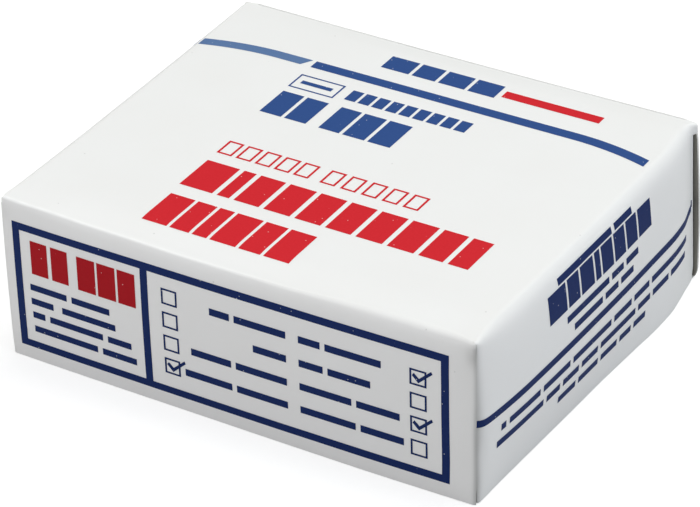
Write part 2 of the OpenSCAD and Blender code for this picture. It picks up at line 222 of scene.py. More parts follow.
def slideGlass():  # soda-lime float glass: clear and faintly green, one end sandblasted, edges ground
    material, tree = newMaterial("sodaLimeSlideGlass")
    coords = addNode(tree, "ShaderNodeTexCoord").outputs["Object"]
    place = addNode(tree, "ShaderNodeSeparateXYZ", links={0: coords})
    frosted = addNode(tree, "ShaderNodeMath", {1: slide["frostedFrom"] * mm}, {0: place.outputs["X"]},
                      operation="GREATER_THAN")
    facing = addNode(tree, "ShaderNodeNewGeometry")
    normal = addNode(tree, "ShaderNodeSeparateXYZ", links={0: facing.outputs["True Normal"]})
    broad = addNode(tree, "ShaderNodeMath", links={0: normal.outputs["Y"]}, operation="ABSOLUTE")
    ground = addNode(tree, "ShaderNodeMath", {1: 0.9}, {0: broad.outputs[0]}, operation="LESS_THAN")
    rough = addNode(tree, "ShaderNodeMath", links={0: frosted.outputs[0], 1: ground.outputs[0]},
                    operation="MAXIMUM")
    grit = addNode(tree, "ShaderNodeTexNoise", {"Scale": 9000, "Detail": 2}, {"Vector": coords})
    relief = addNode(tree, "ShaderNodeBump", {"Distance": 0.01 * mm},
                     {"Height": grit.outputs["Fac"], "Strength": rough.outputs[0]})
    clear = addNode(tree, "ShaderNodeBsdfPrincipled",
                    {"Base Color": srgb(slide["clear"]), "Roughness": 0.02, "IOR": slide["ior"],
                     "Transmission Weight": 1 - slide["haze"]})
    frost = addNode(tree, "ShaderNodeBsdfPrincipled",
                    {"Base Color": srgb(slide["frost"]), "Roughness": 0.6, "IOR": slide["ior"],
                     "Transmission Weight": 0.55}, {"Normal": relief.outputs["Normal"]})
    both = addNode(tree, "ShaderNodeMixShader",
                   links={0: rough.outputs[0], 1: clear.outputs[0], 2: frost.outputs[0]})
    addNode(tree, "ShaderNodeOutputMaterial", links={"Surface": both.outputs[0]})
    return material


white = coatedBoard()
grey = greyBoard()
edge = cutBoard()
glass = slideGlass()
inks = {
    "blue": offsetInk("blueInk", "34538e", "2b4a84"),
    "pale": offsetInk("paleBlueInk", "607ca8", "56739d"),
    "navy": offsetInk("navyInk", "1a3066", "112355"),
    "red": offsetInk("redInk", "d62a34", "ca2129"),
    "darkRed": offsetInk("darkRedInk", "b41722", "a2101a"),
}
print("materials made")


def newObject(name, mesh):
    piece = bpy.data.objects.new(name, mesh)
    bpy.context.scene.collection.objects.link(piece)
    return piece


def addSheet(shell, grid):
    rows = [[shell.verts.new(p) for p in row] for row in grid]
    for a, b in zip(rows, rows[1:]):
        for i in range(len(a) - 1):
            shell.faces.new((a[i], a[i + 1], b[i + 1], b[i]))


def boardPiece(name, sheets, marks):
    # Each sheet is a grid of the outer face's points in mm, wound so that its faces look outwards.
    # Points shared by two sheets are merged, then the board gets its inner face and its cut edges.
    shell = bmesh.new()
    layers = {mark: shell.verts.layers.float.new(mark) for mark in marks}
    for grid in sheets:
        addSheet(shell, grid)
    bmesh.ops.remove_doubles(shell, verts=shell.verts, dist=0.0005)
    shell.normal_update()
    outer = list(shell.verts)
    rims = [e for e in shell.edges if e.is_boundary]
    faces = list(shell.faces)
    inner = {v: shell.verts.new(v.co - v.normal * lid["board"]) for v in outer}
    for vert, behind in inner.items():
        for mark, layer in layers.items():
            vert[layer] = behind[layer] = marks[mark](vert.co)
    for face in faces:
        back = shell.faces.new([inner[v] for v in reversed(face.verts)])
        back.material_index = 1
    for rim in rims:
        loop = rim.link_loops[0]
        a, b = loop.vert, loop.link_loop_next.vert
        cut = shell.faces.new((b, a, inner[a], inner[b]))
        cut.material_index = 2
    for face in shell.faces:
        face.smooth = True
    for fold in shell.edges:
        kinds = {f.material_index for f in fold.link_faces}
        fold.smooth = len(kinds) == 1
    for vert in shell.verts:
        vert.co *= mm
    mesh = bpy.data.meshes.new(name)
    shell.to_mesh(mesh)
    shell.free()
    for look in (white, grey, edge):  # material_index 0, 1 and 2
        mesh.materials.append(look)
    return newObject(name, mesh)


def mirrorGrid(grid):  # the same sheet on the left, still wound outwards
    return [[Vector((-p[0], p[1], p[2])) for p in reversed(row)] for row in grid]


trayLow, trayHigh = [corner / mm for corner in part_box("tray")]
lidLow, lidHigh = [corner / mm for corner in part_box("lid")]
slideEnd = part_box("slide_01")[1].x / mm

lid = {
    "board": 0.45,
    "half": slideEnd + 1.75,  # from the middle to the lid's corner
    "top": trayHigh.z,
    "low": lidLow.z - 0.15,  # the front settles almost onto the table
    "front": lidLow.y + 0.5,  # at the corners; the middle bows further out
    "back": lidHigh.y + 0.06,  # close to the crease that it turns about
    "flapBack": lidHigh.y - 0.18,  # the side flaps' far edges
    "bow": 0.5,  # how far the front's middle stands out
    "belly": 13,  # height of the flaps' widest line
    "foldLine": 24.7,  # height where the flaps turn in to their folds
    "sagRun": 6,  # how far behind the front fold the top sags
    "ear": 0.77,  # how far the fold's back end stands past the flap below it
    "earLow": 25.75,  # height of the ear's underside
    "reach": (0.28, 0.08),  # how far the front's left and right ends stand past the corner
    "roll": 0.3,  # how far those ends turn back
    "dent": 0.22,  # in the flaps, low by the seam
    "lip": 0.2,  # the flaps' far edges turn out, behind a groove
    "groove": 0.14,
    "flapWave": 0.035,
    "frontWave": 0.02,
    "topWave": 0.03,
    "gape": 0.012,  # the seam's opening
    "frontTurn": 60,  # degrees that the front fold turns before the board relaxes
    "frontColumns": 96,
    "finest": 0.13,  # between the side flaps' columns, at the flaps' ends
    "coarsest": 1.1,  # and in the middle
    "foldRings": 9,
    "flapRings": 56,
    "closedRings": (14, 8),  # rings down which the left and right corners stay joined
    "tab": 12,  # how far the glued tabs reach, in the lid and the tray
    "tabSlant": 2.5,
}
lid["near"] = lid["front"] + 0.5  # the side flaps' edges at the seams

# how far the side flaps stand past the corner: (distance from the front, how far) at three heights
flapAtFoot = curveThrough([(0.45, -0.24), (0.75, 0), (1.2, 0.07), (6.7, 0.15), (12.4, 0.3), (20.7, 0.6),
                           (29.5, 0.84), (35.5, 1), (41.3, 1.27), (47.3, 1.57), (50.1, 1.75),
                           (53.3, 1.85), (56.7, 1.81), (61.1, 1.25), (63.7, 0.82), (66.1, 0.45),
                           (67.2, 0.2)])
flapAtBelly = curveThrough([(0.45, -0.35), (0.8, 0.18), (1.5, 0.62), (2.7, 0.88), (6.5, 1.28),
                            (12.5, 1.67), (26, 2.05), (42, 2.22), (56, 2.07), (60.5, 1.7),
                            (64.5, 0.7), (66, 0.28), (67.2, -0.18)])
flapAtFold = curveThrough([(0.45, -0.14), (0.8, 0.18), (1.5, 0.43), (5, 0.77), (14, 1.15),
                           (42, 1.38), (56, 1.3), (61, 0.85), (65, 0.08), (66.1, -0.15),
                           (67.2, -0.5)])
# the front fold from left to right: its outer radius, how far the top sags at it, and how far the
# front still leans back below it
frontFold = curveThrough([(-39.3, 0.45), (-36, 0.46), (-9, 0.48), (8, 0.75), (16, 1.05), (24, 1.4),
                          (29, 1.4), (36, 1.15), (38.2, 0.8), (39.3, 0.55)])
frontSag = curveThrough([(-39.3, 0.15), (-36, 0.37), (-32, 0.46), (-25, 0.78), (-17, 0.92), (-8, 1.1),
                         (8, 1.1), (12, 0.95), (20, 0.65), (28, 0.53), (36, 0.53), (39.3, 0.45)])
frontLean = curveThrough([(-39.3, 0.1), (-36, 0.22), (-30, 0.42), (-23, 0.57), (-8, 0.66), (20, 0.7),
                          (34, 0.64), (37, 0.48), (38.3, 0.2), (39.3, 0.1)])
# the side folds from the front, by side: their outer radius and how far the flap still leans in below
sideFold = {
    1: curveThrough([(0.5, 0.5), (1.5, 0.7), (4, 1), (9, 1.2), (58, 1.2), (63, 1.2), (65.5, 1.05),
                     (66.7, 0.8), (67.5, 0.55)]),
    -1: curveThrough([(0.5, 0.5), (1.5, 0.6), (4, 0.9), (9, 1.1), (15, 1.2), (50, 1.2), (56, 1.1),
                      (61, 0.8), (64, 0.6), (66, 0.5), (67.5, 0.45)]),
}
sideLean = {
    1: curveThrough([(0.5, 0.1), (1.5, 0.3), (4, 0.55), (9, 0.8), (58, 0.8), (63, 0.7), (66, 0.4),
                     (67.5, 0.15)]),
    -1: curveThrough([(0.5, 0.1), (1.5, 0.15), (4, 0.45), (9, 0.69), (15, 0.83), (31, 0.95), (50, 0.92),
                      (56, 0.83), (61, 0.5), (64, 0.3), (66, 0.18), (67.5, 0.13)]),
}
# the left flap's far end was pressed outwards: (distance from the front, how far)
leftFlare = curveThrough([(50, 0), (54, 0.05), (58, 0.02), (60, 0.08), (62, 0.19), (64, 0.37),
                          (65.5, 0.57), (66.3, 0.75), (67, 0.92), (67.7, 0.87)])


def flapX(y, z, side):  # a flap's outer face, from the middle; side is 1 on the right and -1 on the left
    far = y - lid["front"]
    b, f = lid["belly"], lid["foldLine"]
    out = (flapAtFoot(far) * (z - b) * (z - f) / (b * f)  # a parabola through the three heights
           + flapAtBelly(far) * z * (z - f) / (b * (b - f))
           + flapAtFold(far) * z * (z - b) / (f * (f - b)))
    if side > 0:
        out += lid["ear"] * smooth((y - lid["back"] + 1.7) / 1.4) * smooth((z - lid["earLow"]) / 0.2)
    else:
        out += leftFlare(max(far, 50)) * smooth((z - 20) / 6)
    past = y - lid["flapBack"]
    lip = lid["lip"] * smooth((past + 0.3) / 0.3) - lid["groove"] * bump((past + 0.6) / 0.45)
    dent = lid["dent"] * bump((z - 8) / 3) * bump((far - 1.4) / 0.8)
    wave = lid["flapWave"] * noise.noise(Vector((side * y / 9, z / 7, 5))) * smooth((far - 1) / 4)
    return lid["half"] + out + lip * smooth((z - 0.5) / 2) - dent + wave


def frontEnd(z, side):  # the place of the front's cut end
    if side > 0:
        reach = blend(-0.08, lid["reach"][1], smooth((z - 10) / 8))
        return lid["half"] + reach - 0.12 * smooth((z - 20) / 5)
    return lid["half"] + lid["reach"][0] * blend(0.6, 1, smooth(z / 20))


def frontY(x, z):  # the front's outer face, which rolls away at its two cut ends
    bow = lid["bow"] * (1 - ((x + 3) / 40) ** 2) - 0.02
    bow -= 0.2 * ((z - 13) / 13) ** 2 * bump(x / 45)  # fullest half way up
    bow -= 0.12 * smooth((3.5 - z) / 3.5) * smooth((24 - x) / 20)  # the lower edge turns in on the left
    foot = 0.25 * smooth((7 - z) / 7) * smooth((x + 20) / 45)  # and stands out on the right
    width = blend(0.45, 0.9, bump((z - 23) / 4))  # of the cut ends' roll, widest below the fold
    t = min(max((abs(x) - frontEnd(z, x) + width) / width, 0), 0.95)
    roll = lid["roll"] * (1 - math.sqrt(1 - t * t))
    wave = lid["frontWave"] * noise.noise(Vector((x / 11, z / 8, 9)))
    return lid["front"] - min(bow + foot, 0.51) + roll + wave


def creaseDrop(x):  # how far the crease along the back lies below the flat of the top
    return 0.26 - 0.2 * (x / 38) ** 2


def foldStart(x):  # where the top begins to turn down into the front; 0.87 is the sine of that turn
    return frontY(x, lid["top"] - 1) + frontLean(x) + 0.87 * frontFold(x)


def topZ(x, y):
    droop = creaseDrop(x) * smooth((y - lid["back"] + 3) / 3)  # towards the crease
    near = y - foldStart(x)
    sag = frontSag(x) * max(1 - max(near, 0) / lid["sagRun"], 0) ** 2  # towards the front fold
    ridge = 0.03 * bump((near - 0.1) / 0.22) * smooth((14 - x) / 30)  # squeezed up along the fold
    wave = lid["topWave"] * noise.noise(Vector((x / 17, y / 17, 2)))
    return lid["top"] - 0.04 - droop - sag + wave + ridge


def ringLevel(z, foot, ring):  # rings below a fold lie closer together near it
    return blend(z, foot, ((ring - lid["foldRings"]) / lid["flapRings"]) ** 1.5)


def sidePoint(y, ring, side):  # down a side: ring 0 is on the top, the last is the lower edge
    near, rings = lid["near"], lid["foldRings"]
    flat = min(y, lid["flapBack"])
    r = sideFold[side](flat - lid["front"])
    lean = sideLean[side](flat - lid["front"])
    centreZ = topZ(side * lid["half"], flat) - r
    z = centreZ + r * math.sqrt(0.5)
    centreX = flapX(y, z, side) - lean - r * math.sqrt(0.5)
    if ring <= rings:  # turned by 45 degrees in a tight fold
        a = blend(math.pi / 2, math.pi / 4, ring / rings)
        return Vector((centreX + r * math.cos(a), y, centreZ + r * math.sin(a)))
    foot = lid["low"] + 0.04 * math.exp((near - y) / 0.7)
    level = ringLevel(z, foot, ring)
    gape = lid["gape"] * math.exp((near - y) / 0.5)
    y = min(y, blend(lid["flapBack"], lid["back"], smooth((level - lid["earLow"]) / 0.15)))
    x = flapX(y + gape, level, side) - lean * math.exp((level - z) / lean)
    return Vector((x - 0.6 * gape, y + gape, level))


def frontPoint(share, ring, left, right):  # down the front, share runs from 0 at the left to 1
    rings, turned = lid["foldRings"], math.radians(lid["frontTurn"])
    x = blend(left.x, right.x, share)
    r, lean = frontFold(x), frontLean(x)
    start = foldStart(x)
    a = math.atan((topZ(x, start + 0.2) - topZ(x, start)) / 0.2)
    centreY = frontY(x, lid["top"] - 1) + lean + r * math.sin(turned)
    centreZ = topZ(x, centreY - r * math.sin(a)) - r * math.cos(a)
    z = centreZ + r * math.cos(turned)
    if ring <= rings:  # a tight fold first
        a = blend(a, turned, ring / rings)
        low = blend(-frontEnd(z, -1), frontEnd(z, 1), share)
        x = blend(x, low, math.sin(math.pi / 2 * a / turned))
        return Vector((x, centreY - r * math.sin(a), centreZ + r * math.cos(a)))
    level = ringLevel(z, lid["low"], ring)
    lean += frontY(x, lid["top"] - 1) - frontY(x, z)
    x = blend(-frontEnd(level, -1), frontEnd(level, 1), share)
    lean *= math.exp((level - z) * math.tan(turned / 2) / lean)
    return Vector((x, frontY(x, level) + lean, level))


def stations():  # places along the side, close together where the flap curls
    near, far = lid["near"], lid["back"]
    ys = [near]
    while ys[-1] < far - 0.1:
        fromEnd = min(ys[-1] - near, max(far - ys[-1], 0))
        ys.append(ys[-1] + min(lid["finest"] + 0.11 * fromEnd, lid["coarsest"]))
    stretch = (far - near) / (ys[-1] - near)
    return [near + (y - near) * stretch for y in ys]


def lidSheets():
    ys = stations()
    total = lid["foldRings"] + lid["flapRings"] + 1
    right = [[sidePoint(y, ring, 1) for y in ys] for ring in range(total)]
    left = mirrorGrid([[sidePoint(y, ring, -1) for y in ys] for ring in range(total)])
    rights, lefts = right[0], left[0][::-1]
    count = lid["frontColumns"]
    shares = [(1 + 0.25 * t + 0.75 * math.sin(math.pi / 2 * t)) / 2  # closer together at the corners
              for t in [2 * i / count - 1 for i in range(count + 1)]]
    front = [[frontPoint(s, ring, lefts[0], rights[0]) for s in shares] for ring in range(total)]
    for flap, end, place, closed in ((left, 0, -1, 0), (right, -1, 0, 1)):
        for ring in range(lid["closedRings"][closed] + 1):
            meet = front[ring][end].lerp(flap[ring][place], 0.5) if ring else flap[0][place]
            front[ring][end] = flap[ring][place] = meet
    top = []
    for j, y in enumerate(ys):  # a sheet stretched between the four folds
        t = (y - ys[0]) / (ys[-1] - ys[0])
        row = []
        for i, s in enumerate(shares):
            fore = front[0][i]
            x = blend(lefts[j].x, rights[j].x, s)
            x += (1 - t) * (fore.x - blend(lefts[0].x, rights[0].x, s))
            place = y + (1 - t) * (fore.y - ys[0])
            row.append(Vector((x, place, topZ(x, place))))
        row[0], row[-1] = lefts[j], rights[j]
        top.append(row)
    top[0] = front[0]
    front.reverse()
    right.reverse()
    left.reverse()
    return [top, front, right, left]


def foldWearAndHighlight(p):  # the coating is painted paler along the front fold, partly rubbed wear and partly painted highlight, and along the flaps' far edges, a painted highlight where the cut edges catch the light
    x, y, z = p
    onFold = bump((y - foldStart(x) + 0.08) / 0.18) * bump((z - topZ(x, foldStart(x))) / 0.5)
    patchy = 0.65 + 0.6 * noise.noise(Vector((x / 1.6, 0, 7)))
    # painted highlight: a thin bright line along the flaps' far edges
    farEdge = smooth((y - lid["flapBack"] + 0.16) / 0.16) * smooth((z - 6) / 8)
    farEdge *= smooth((lid["earLow"] - z) / 0.5)
    return max(onFold * patchy * smooth((12 - x) / 30), farEdge, 0)


def paintedSeamShade(p):  # painted shade: the lips of the corner seams and the front's right end are greyed where shade falls in the groove
    x, y, z = p
    side = 1 if x > 0 else -1
    high = smooth((z - 9) / 14)
    if y > lid["near"] - 0.03:
        seamShade = blend(0.52, 0.34, high) * math.exp((lid["near"] - y) / blend(0.6, 0.25, high))
        seamShade *= abs(x) > lid["half"] - 1
    else:
        # painted shade in the groove, fading over the front's end, with a soft patch of painted shade below
        # the top corner
        gap = max(frontEnd(z, side) - abs(x), 0)
        seamShade = blend(0.42, 0.3, high) * bump(gap / 0.38) + 0.07 * math.exp(-gap / 2)
        seamShade += 0.2 * bump((gap - 0.6) / 0.9) * bump((z - 24.8) / 1.6)
    return seamShade * smooth((lid["top"] - 0.7 - z) / 0.9) * (1 if side > 0 else 0.3)


def tabSheet(side, end, low, high, steps, placeAt, inward=1):  # from a side inwards, with slanting ends
    grid = []
    for j in range(steps + 1):
        row = []
        for i in range(steps + 1):
            s = i / steps
            x = end - s * lid["tab"]
            z = blend(low + lid["tabSlant"] * s, high - lid["tabSlant"] * s, j / steps)
            row.append(Vector((side * x, placeAt(x, z), z)))
        grid.append(row if side * inward < 0 else row[::-1])
    return grid


def glueTab(side):  # folded in from a side flap and glued behind the front
    def behindFront(x, z):
        return frontY(side * min(x, 38.5), z) + lid["board"] + 0.03
    return tabSheet(side, lid["half"] - 0.62, 2, 24.2, 8, behindFront)


lidBoard = boardPiece("lidBoard", lidSheets() + [glueTab(1), glueTab(-1)],
                      {"wearAndPaintedLight": foldWearAndHighlight, "seamShade": paintedSeamShade})
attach(lidBoard, "lid")
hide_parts("lid")
print("lid made:", len(lidBoard.data.polygons), "faces")


tray = {
    "half": slideEnd + 0.8,
    "front": trayLow.y,
    "top": lid["top"] - 3.7,
    "floorFold": 0.7,  # outer radius of the folds round the floor
    "cornerFold": 0.7,
    "panelFace": trayHigh.y,  # the back panel's outer face
    "panelFold": 0.5,  # outer radius where the panel leaves the floor
    "gap": 0.02,  # between boards that are glued or folded against each other
    "wallWave": 0.12,
    "panelWave": 0.06,
    "wallSteps": 36,
    "wallRows": 12,
    "panelColumns": 60,
    "panelRows": 40,
}
# half the width of the back panel by height: (height, half width)
panelHalf = curveThrough([(0, 39.9), (0.3, 40.15), (0.7, 40.35), (1.2, 40.5), (1.8, 40.6), (4, 40.63),
                          (8, 40.64), (14, 40.5), (18, 40.34), (21, 40.18), (24, 40), (25.2, 39.92),
                          (26.2, 39.5), (27, 39.2), (27.7, 39.1)])


def quarterTurn(x, y, r, start):  # seven points about (x, y)
    turns = [math.radians(start + 15 * i) for i in range(7)]
    return [(x + r * math.cos(a), y + r * math.sin(a)) for a in turns]


def trayPlan(inset, steps):  # the walls from above, from the back left corner by the front to the back right
    half, front = tray["half"] - inset, tray["front"] + inset
    back = tray["panelFace"] - lid["board"] - tray["gap"]
    r = max(tray["cornerFold"] - inset, 0)
    points = [(-half, blend(back, front + r, i / steps)) for i in range(steps)]
    points += quarterTurn(-half + r, front + r, r, 180)
    points += [(blend(-half + r, half - r, i / steps), front) for i in range(1, steps)]
    points += quarterTurn(half - r, front + r, r, 270)
    points += [(half, blend(front + r, back, i / steps)) for i in range(1, steps + 1)]
    return points


def traySheets():
    steps, r = tray["wallSteps"], tray["floorFold"]
    levels = [(r - r * math.sin(a), r - r * math.cos(a))
              for a in map(math.radians, range(0, 91, 15))]
    rows = tray["wallRows"]
    levels += [(0, blend(r, tray["top"], i / rows)) for i in range(1, rows + 1)]
    walls = []
    for inset, z in levels:
        ring = []
        for x, y in trayPlan(inset, steps):
            bow = tray["wallWave"] * noise.noise(Vector((x / 25, y / 25, z / 12))) * smooth(z / 8)
            ring.append(Vector((x * (1 - bow / 40), y, z)))
        walls.append(ring)
    foot = walls[0]
    floor = []
    for j in range(steps + 1):  # from the back edge of the floor to its front edge
        left, right = foot[j], foot[-1 - j]
        floor.append([left.lerp(right, i / steps) for i in range(steps + 1)])
    return [walls, floor]


def panelSheet():  # up the outside of the back, from under the floor to the crease
    r, face, top = tray["panelFold"], tray["panelFace"], lid["top"]
    columns, rows = tray["panelColumns"], tray["panelRows"]
    bead = lid["board"] / 2
    profile = [(face - r + r * math.sin(a), r - r * math.cos(a))
               for a in map(math.radians, range(0, 91, 10))]
    profile += [(face, blend(r, top - bead, i / rows)) for i in range(1, rows + 1)]
    profile += [(face - bead + bead * math.cos(a), top - bead + bead * math.sin(a))
                for a in map(math.radians, range(18, 127, 18))]
    grid = []
    for y, z in profile:
        half = panelHalf(z)
        row = []
        for i in range(columns + 1):
            x = half * (2 * i / columns - 1)
            wave = tray["panelWave"] * noise.noise(Vector((x / 16, 3, z / 12)))
            wave *= smooth(z / 5) * smooth((top - z) / 4)
            drop = (creaseDrop(x) + 0.03 + 0.2 * smooth((abs(x) - 38) / 1.2)) * smooth(z - top + 2)
            row.append(Vector((x, y - abs(wave), z - drop)))
        grid.append(row[::-1])
    return grid


def panelEdgeLight(p):  # painted light: the grey back of the panel is drawn paler towards its long cut edges, away from the flap's shade
    return smooth((abs(p.x) - panelHalf(p.z) + 1.1) / 1.1) if p.y > tray["panelFace"] - 0.3 else 0


def trayTab(side, wall, inward):  # folded in from a side wall and glued to the front or the back
    end = tray["half"] - lid["board"] - tray["gap"]
    low, high = tray["floorFold"], tray["top"] - tray["floorFold"]
    return tabSheet(side, end, low, high, 6, lambda x, z: wall, inward)


tabs = [trayTab(side, tray["front"] + lid["board"] + tray["gap"], 1) for side in (1, -1)]
tabs += [trayTab(side, tray["panelFace"] - lid["board"] - tray["gap"], -1) for side in (1, -1)]
trayBoard = boardPiece("trayBoard", traySheets() + [panelSheet()] + tabs, {"wearAndPaintedLight": panelEdgeLight})
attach(trayBoard, "tray")
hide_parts("tray")
print("tray made:", len(trayBoard.data.polygons), "faces")

for name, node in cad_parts.items():
    if name.startswith("slide_"):
        node.data.materials.clear()
        node.data.materials.append(glass)
print("slides dressed")


artwork = {
    "cells": (80, 68, 28),  # the print is laid out in cells along, across and up the lid
    "gridStep": 0.8,  # mm, the longest side of a piece of ink's facets
    "lift": 0.02,  # mm between ink and board
    "skin": 0.018,  # mm of ink
    "frameLine": 1.25,
    "tickBox": 2.7,
    "tickLine": 0.3,
    "topStripe": 1.95,  # mm wide
    "topStripeAt": 20.2,  # cells behind the middle
    "topStripeSag": 2.25,  # cells, over the last run at each end
    "topStripeRun": 14,  # cells
    "sideStripe": 1.2,  # mm wide
    "sideStripeAt": 13.15,  # cells up
}
cellX = 2 * lid["half"] / artwork["cells"][0]
cellY = -2 * lid["front"] / artwork["cells"][1]
cellZ = lid["top"] / artwork["cells"][2]


class Art:  # flat shapes of one ink on one face of the lid, in cells or, where it says so, in mm
    def __init__(self, cellWide, cellTall):
        self.wide = cellWide
        self.tall = cellTall
        self.patches = []

    def mmBlock(self, x, y, wide, tall):  # in facets, so that the ink can follow the board
        across = max(1, math.ceil(wide / artwork["gridStep"]))
        up = max(1, math.ceil(tall / artwork["gridStep"]))
        self.patches.append([[Vector((x + wide * i / across, y + tall * j / up))
                              for i in range(across + 1)] for j in range(up + 1)])

    def block(self, x, y, wide, tall):
        self.mmBlock(x * self.wide, y * self.tall, wide * self.wide, tall * self.tall)

    def row(self, x, y, widths, tall=1.1, gap=0.9):
        for width in widths:
            self.block(x, y, width, tall)
            x += width + gap

    def mmFrame(self, x, y, wide, tall, line):
        self.mmBlock(x, y, wide, line)
        self.mmBlock(x, y + tall - line, wide, line)
        self.mmBlock(x, y + line, line, tall - 2 * line)
        self.mmBlock(x + wide - line, y + line, line, tall - 2 * line)

    def frame(self, x, y, wide, tall, line):
        self.mmFrame(x * self.wide, y * self.tall, wide * self.wide, tall * self.tall, line)

    def boxes(self, x, y, count, wide, tall, gap, line):
        for i in range(count):
            self.frame(x + i * (wide + gap), y, wide, tall, line)

    def tick(self, x, y, ticked):
        size = artwork["tickBox"]
        x, y = x * self.wide, y * self.tall
        self.mmFrame(x, y, size, size, artwork["tickLine"])
        if ticked:
            spot = [Vector((x + size * u, y + size * v)) for u, v in
                    [(0.14, 0.58), (0.52, 0.18), (1.36, 0.96), (1.28, 1.12), (0.56, 0.46), (0.26, 0.74)]]
            self.patches.append([[spot[0], spot[1]], [spot[5], spot[4]]])
            self.patches.append([[spot[1], spot[2]], [spot[4], spot[3]]])

    def stripe(self, start, end, slant=0):  # sags in a parabola over its last run at each end
        sag, run = artwork["topStripeSag"], artwork["topStripeRun"]
        bend = artwork["cells"][0] / 2 - run
        steps = max(2, round((end - start) / artwork["gridStep"]))
        rows = [[], [], [], []]
        for i in range(steps + 1):
            x = blend(start, end, i / steps)
            y = artwork["topStripeAt"] - sag * (max(abs(x) - bend, 0) / run) ** 2
            for k, row in enumerate(rows):
                lean = slant * (1 - k / 3) * (i / steps) ** 8
                across = artwork["topStripe"] * k / 3
                row.append(Vector(((x - lean) * self.wide, y * self.tall + across)))
        self.patches.append(rows)


def inkTree():  # lays flat artwork on the board's outer face and gives it a thin closed skin
    tree = bpy.data.node_groups.new("inkOnBoard", "GeometryNodeTree")
    sockets = tree.interface
    sockets.new_socket("Geometry", in_out="OUTPUT", socket_type="NodeSocketGeometry")
    sockets.new_socket("Geometry", in_out="INPUT", socket_type="NodeSocketGeometry")
    sockets.new_socket("Board", in_out="INPUT", socket_type="NodeSocketObject")
    sockets.new_socket("Direction", in_out="INPUT", socket_type="NodeSocketVector")
    sockets.new_socket("Lift", in_out="INPUT", socket_type="NodeSocketFloat")
    sockets.new_socket("Skin", in_out="INPUT", socket_type="NodeSocketFloat")
    sockets.new_socket("Ink", in_out="INPUT", socket_type="NodeSocketMaterial")
    given = addNode(tree, "NodeGroupInput").outputs
    board = addNode(tree, "GeometryNodeObjectInfo", links={"Object": given["Board"]},
                    transform_space="RELATIVE")
    ray = addNode(tree, "GeometryNodeRaycast", {"Ray Length": 0.02},
                  {"Target Geometry": board.outputs["Geometry"], "Ray Direction": given["Direction"]})
    missed = addNode(tree, "FunctionNodeBooleanMath", links={0: ray.outputs["Is Hit"]},
                     operation="NOT")
    kept = addNode(tree, "GeometryNodeDeleteGeometry",
                   links={"Geometry": given["Geometry"], "Selection": missed.outputs[0]})
    lift = addNode(tree, "ShaderNodeVectorMath",
                   links={0: ray.outputs["Hit Normal"], "Scale": given["Lift"]}, operation="SCALE")
    place = addNode(tree, "ShaderNodeVectorMath",
                    links={0: ray.outputs["Hit Position"], 1: lift.outputs[0]}, operation="ADD")
    laid = addNode(tree, "GeometryNodeSetPosition",
                   links={"Geometry": kept.outputs[0], "Position": place.outputs[0]})
    raised = addNode(tree, "GeometryNodeExtrudeMesh", {"Individual": False},
                     {"Mesh": laid.outputs[0], "Offset Scale": given["Skin"]}, mode="FACES")
    under = addNode(tree, "GeometryNodeFlipFaces", links={"Mesh": laid.outputs[0]})
    joined = addNode(tree, "GeometryNodeJoinGeometry", links={0: raised.outputs["Mesh"]})
    tree.links.new(under.outputs[0], joined.inputs[0])
    closed = addNode(tree, "GeometryNodeMergeByDistance", {"Distance": 2e-6},
                     {"Geometry": joined.outputs[0]})
    angle = addNode(tree, "GeometryNodeInputMeshEdgeAngle")
    sharp = addNode(tree, "ShaderNodeMath", {1: math.radians(40)},
                    {0: angle.outputs["Unsigned Angle"]}, operation="GREATER_THAN")
    marked = addNode(tree, "GeometryNodeStoreNamedAttribute", {"Name": "sharp_edge"},
                     {"Geometry": closed.outputs[0], "Value": sharp.outputs[0]},
                     data_type="BOOLEAN", domain="EDGE")
    shaded = addNode(tree, "GeometryNodeSetShadeSmooth", links={"Geometry": marked.outputs[0]})
    real = addNode(tree, "GeometryNodeRealizeInstances", links={"Geometry": shaded.outputs[0]})
    inked = addNode(tree, "GeometryNodeSetMaterial",
                    links={"Geometry": real.outputs[0], "Material": given["Ink"]})
    addNode(tree, "NodeGroupOutput", links={0: inked.outputs[0]})
    return tree


inkOnBoard = inkTree()


def printOn(name, art, lay, direction, ink, node):
    # lay turns a flat artwork point into a place in front of the face, in mm
    flat = bmesh.new()
    for grid in art.patches:
        addSheet(flat, [[Vector(lay(p)) * mm for p in row] for row in grid])
    bmesh.ops.remove_doubles(flat, verts=flat.verts, dist=2e-6)
    mesh = bpy.data.meshes.new(name + "Flat")
    flat.to_mesh(mesh)
    flat.free()
    holder = newObject(name + "Flat", mesh)
    modifier = holder.modifiers.new("ink", "NODES")
    modifier.node_group = inkOnBoard
    values = {"Board": lidBoard, "Direction": direction, "Lift": artwork["lift"] * mm,
              "Skin": artwork["skin"] * mm, "Ink": ink}
    for item in inkOnBoard.interface.items_tree:
        if item.in_out == "INPUT" and item.name in values:
            modifier[item.identifier] = values[item.name]
    bpy.context.view_layer.update()
    evaluated = holder.evaluated_get(bpy.context.evaluated_depsgraph_get())
    made = bpy.data.meshes.new_from_object(evaluated)
    made.name = name
    holder.modifiers.clear()
    bpy.data.objects.remove(holder)
    piece = newObject(name, made)
    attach(piece, "lid")
    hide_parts(node)
    print(name, "printed:", len(made.polygons), "faces")


def onTop(p):
    return (p[0], p[1], lid["top"] + 4)


def onFront(p):
    return (p[0], lid["front"] - 4, p[1])


def onSide(p):
    return (lid["half"] + 6, p[0], p[1])


